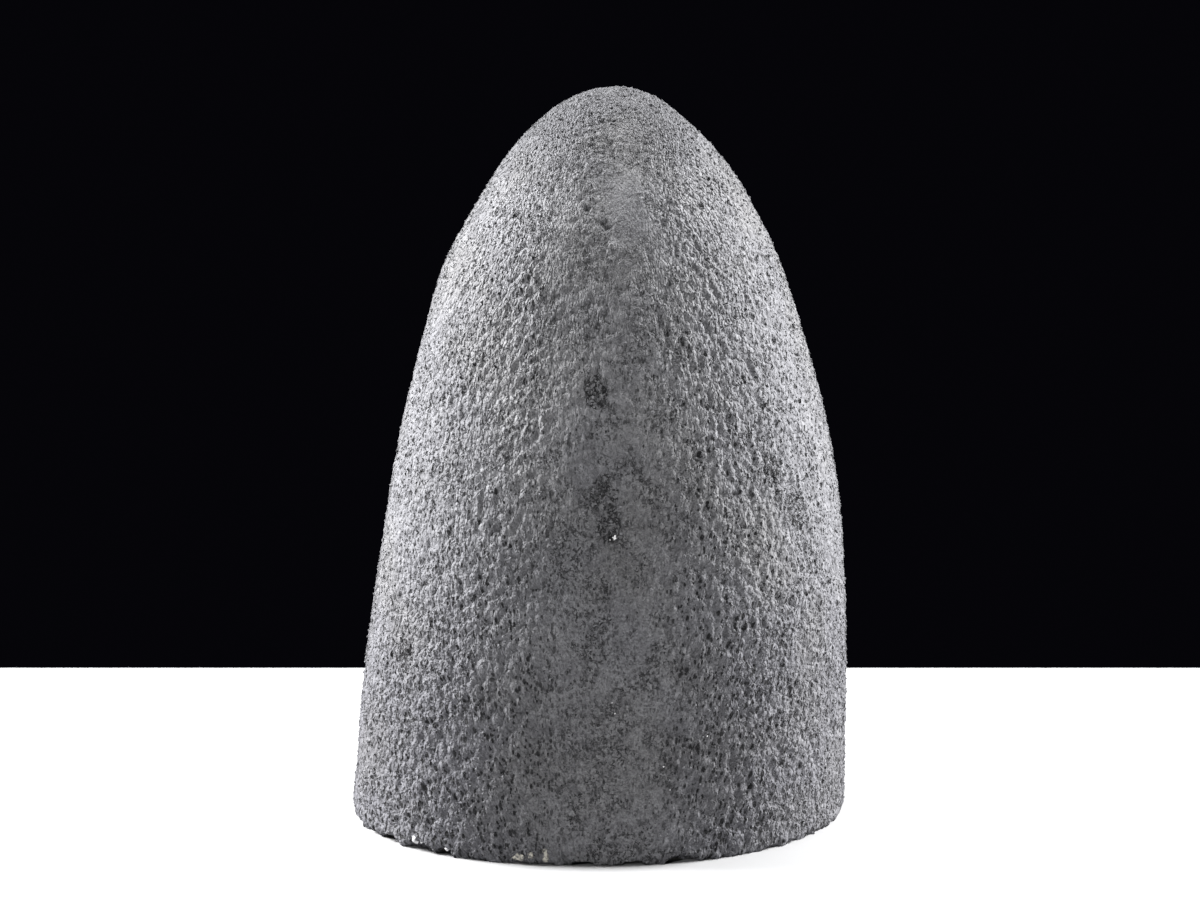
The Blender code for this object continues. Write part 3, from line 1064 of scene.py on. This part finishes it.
pit_crowd = rough.noise(place_mm, 13).between(0.46, 0.66)
pitted = 0
for middle, reach in PITTED:
    crowd = within(rough, place_mm, middle, (reach, reach, 1.6 * reach)) + 0.02 * wander
    crowd = crowd.between(1.1, 0.6)
    pit_crowd = maths("MAXIMUM", pit_crowd, 1.4 * crowd)
    pitted = maths("MAXIMUM", crowd, pitted)
pits = maths("MAXIMUM", 1 - rough.cells(pit_place, 1) / (0.13 + 0.13 * pit_width), 0)
pits = pits * (pit_chance < 0.05 + 0.5 * pit_crowd)
for middle, reach in HOLES:
    pits = maths("MAXIMUM", pits, within(rough, place_mm, middle, reach).between(1.1, 0.35))
foot_edge = height.between(2.4, 0.0)
worn = foot_edge * foot_edge * (0.5 + 1.9 * rough.noise(place_mm, 5, 2, 0.6).between(0.42, 0.6))
relief = (
    2 * given["Lump height"] * lumps
    + coarse * (
        2 * given["Stroke height"] * strokes
        + 2 * given["Grain height"] * grains
        + 2 * given["Crumb height"] * crumbs
    )
    - given["Pit depth"] * pits.between(0, 0.8)
    - given["Edge wear"] * worn
    + 0.8 * within(rough, place_mm, *NODULE).between(1.1, 0.2)
)
for middle, reach in FOOT_CHIPS:
    far = within(rough, place, middle, reach) + 0.35 * (rough.noise(place_mm, 1.8, 2, 0.6) - 0.5)
    relief = relief - given["Chip depth"] * far.between(1.05, 0.8)
offset = rough.vector("SCALE", rough.node("GeometryNodeInputNormal"), relief * 0.001)
skin_mesh = rough.node("GeometryNodeSetPosition", {}, {"Geometry": given["Mesh"], "Offset": offset})
for name, value in (("patch", patch), ("pit", pits), ("pitted", pitted)):
    skin_mesh = store(rough, skin_mesh, name, value)
end_tree(rough, skin_mesh, material_of("sanded_mortar", sanded_mortar))

skin = mesh_object("mortar_coat_visual", dome_mesh(0, SKIN_ROWS, SKIN_COLUMNS))
remesh = skin.modifiers.new("remesh", "REMESH")
remesh.mode = "VOXEL"
remesh.voxel_size = MORTAR_VOXEL
even = skin.modifiers.new("even", "SMOOTH")
even.iterations = 6
applied(skin)
edited(skin, sawn)
shaped_by(skin, rough, ROUGHCAST)
bare_skin = skin.data.copy()
edited(skin, closed_behind)
skin.data.shade_smooth()
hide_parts("mortar_coat")
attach(skin, "root")


# The mortar's sharp sand stands out of its skin as half-buried grains, washed over with cement.
# Coarse grains are few, and finer ones fill in between them. Smoother patches show fewer.
SAND_NUMBERS = ("Smallest", "Largest", "Spacing", "Sunk", "Patch share", "Edge gap", "Seed")
SAND = {
    "coarse_sand": (0.00042, 0.00066, 0.0030, 0.12, 0.15, 0.0012, 11),
    "medium_sand": (0.00030, 0.00044, 0.0018, 0.08, 0.3, 0.0012, 12),
    "fine_sand": (0.00022, 0.00031, 0.00187, 0.05, 0.6, 0.0012, 13),
}
DARK_GRAIN, PALE_GRAIN = (0.070, 0.070, 0.075, 1), (0.138, 0.138, 0.146, 1)
CEMENT_WASH = (0.145, 0.145, 0.152, 1)
# Dirt and painted shade: the near-black laid into pinholes where they cross a grain.
GRAIN_HOLE_DIRT_AND_SHADE = (0.010, 0.010, 0.011, 1)


def washed_sand(tree):
    """Grains from dark to pale, under a thin wash of cement."""
    place_mm = tree.place_mm()
    wash = tree.noise(place_mm, 0.7, 3, 0.6)
    pinholes = pinholes_in(tree, place_mm)
    colour = tree.laid_over(
        tree.mix(stored(tree, "tone"), DARK_GRAIN, PALE_GRAIN),
        (
            (0.5 * wash.between(0.4, 0.7), CEMENT_WASH),
            # Painted shade: darker towards the sawn face.
            (0.5 * tree.parts(place_mm)[1].between(8, -22), PAINTED_FRONT_SHADE),
            # Dirt and painted shade in the pinholes.
            (0.95 * pinholes, GRAIN_HOLE_DIRT_AND_SHADE),
        ),
    )
    return {
        "Base Color": colour,
        "Roughness": 0.9,
        "Specular IOR Level": 0.2,
        "Normal": tree.bump(0.6 * wash - 0.8 * pinholes),
    }


sprinkle, given = geometry_tree("sand", SAND_NUMBERS)
height = sprinkle.parts(sprinkle.place())[2]
drift = sprinkle.noise(sprinkle.place_mm(), 11).between(0.3, 0.55)
share = (1 - (1 - given["Patch share"]) * stored(sprinkle, "patch")) * (0.35 + 0.65 * drift)
share = share * (stored(sprinkle, "pit") < 0.2) * (height > given["Edge gap"])
share = share * (before_saw(sprinkle) < -given["Edge gap"])
points, skin_normal, upright = spread_points(sprinkle, given, 3, share)
size = drawn(sprinkle, given["Smallest"], given["Largest"])
oval = drawn(sprinkle, (0.8, 0.7, 0.75), (1.35, 1.0, 1.15))
spin = drawn(sprinkle, (-0.4, -0.4, 0), (0.4, 0.4, WHOLE_TURN))
sink = sprinkle.vector("SCALE", skin_normal, -size * given["Sunk"])
points = sprinkle.node("GeometryNodeSetPosition", {}, {"Geometry": points, "Offset": sink})
points = store(sprinkle, points, "tone", drawn(sprinkle, 0.0, 1.0))
grain = sprinkle.node("GeometryNodeMeshIcoSphere", {}, {"Radius": 1.0, "Subdivisions": 1})
turned = turned_by(sprinkle, upright, spin)
grains = copies_at(sprinkle, points, grain, False, turned, sprinkle.vector("SCALE", oval, size))
end_tree(sprinkle, grains, material_of("washed_sand", washed_sand))
for name, numbers in SAND.items():
    strewn = bpy.data.objects.new(name, bare_skin.copy())
    scene.collection.objects.link(strewn)
    shaped_by(strewn, sprinkle, dict(zip(SAND_NUMBERS, numbers)))
    strewn.data.shade_smooth()
    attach(strewn, "root")


# Crumbs of pale quartz show where the coat's foot edge has chipped off the stone, and as a few
# grains in the mortar's skin. They are broken bits of the geode's wall, bedded in the mortar.
CRUMBS = (  # place and width in mm
    ((61.6, 39.0, 1.9), 2.7), ((59.8, 41.0, 0.7), 1.6), ((52.5, 45.8, 1.1), 1.9),
    ((26.8, 53.4, 2.6), 4.2), ((22.4, 54.0, 2.9), 3.0), ((17.8, 54.4, 3.4), 4.4),
    ((-5.2, 47.8, 108.2), 1.9), ((-3.6, 47.6, 107.2), 1.1), ((-4.2, 53.6, 54.7), 0.7),
    ((-5.2, 54.2, 51.1), 0.9), ((-34.8, 38.4, 140.1), 0.7), ((-19.4, 38.0, 156.5), 0.7),
    ((-20.9, 53.1, 33.0), 0.9), ((-23.2, 52.5, 25.0), 0.8), ((-35.3, 49.0, 42.3), 0.7),
)
CRUMB_SUNK = 0.42
CRUMB_ROUGHNESS = 0.75
CRUMB_SEED = 21
STAINED_QUARTZ, CREAM_QUARTZ = (0.085, 0.082, 0.075, 1), (0.40, 0.38, 0.33, 1)
FRESH_QUARTZ = (0.66, 0.66, 0.68, 1)


def broken_quartz(tree):
    """Broken quartz: stained or cream, but clean and white in the widest chip and up the coat."""
    place_mm = tree.place_mm()
    x, _, z = tree.parts(place_mm)
    clouds = tree.noise(place_mm, 0.9, 3, 0.6)
    clean = maths("MAXIMUM", x.between(40, 45), z.between(8, 12))
    colour = tree.mix(clouds.between(0.38, 0.62), STAINED_QUARTZ, CREAM_QUARTZ)
    return {
        "Base Color": tree.mix(0.8 * clean, colour, FRESH_QUARTZ),
        "Roughness": 0.25 + 0.2 * clouds,
        "IOR": QUARTZ_IOR,
        "Normal": tree.bump(0.35 * clouds),
    }


crumb_draw = random.Random(CRUMB_SEED)
skin_tree = BVHTree.FromPolygons(
    [vertex.co for vertex in skin.data.vertices], [face.vertices for face in skin.data.polygons]
)
bm = bmesh.new()
for at, width in CRUMBS:
    on_skin, outward, _, _ = skin_tree.find_nearest(Vector(at) * 0.001)
    reach = width * 0.0005
    turn = Euler([crumb_draw.uniform(0, WHOLE_TURN) for _ in range(3)]).to_matrix()
    crumb = bmesh.ops.create_icosphere(bm, subdivisions=2 if width > 1 else 1, radius=1)["verts"]
    for vertex in crumb:
        dent = 1 + CRUMB_ROUGHNESS * noise.noise(vertex.co * 1.3 + Vector(at))
        x, y, z = vertex.co * dent * reach
        turned = turn @ Vector((x, y * 0.8, z * 0.7))
        vertex.co = on_skin - outward * (CRUMB_SUNK * reach) + turned
        vertex.co.z = max(vertex.co.z, 0.0001)
crumbs = mesh_object("quartz_crumbs", bm)
crumbs.data.materials.append(material_of("bared_quartz", broken_quartz))
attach(crumbs, "root")
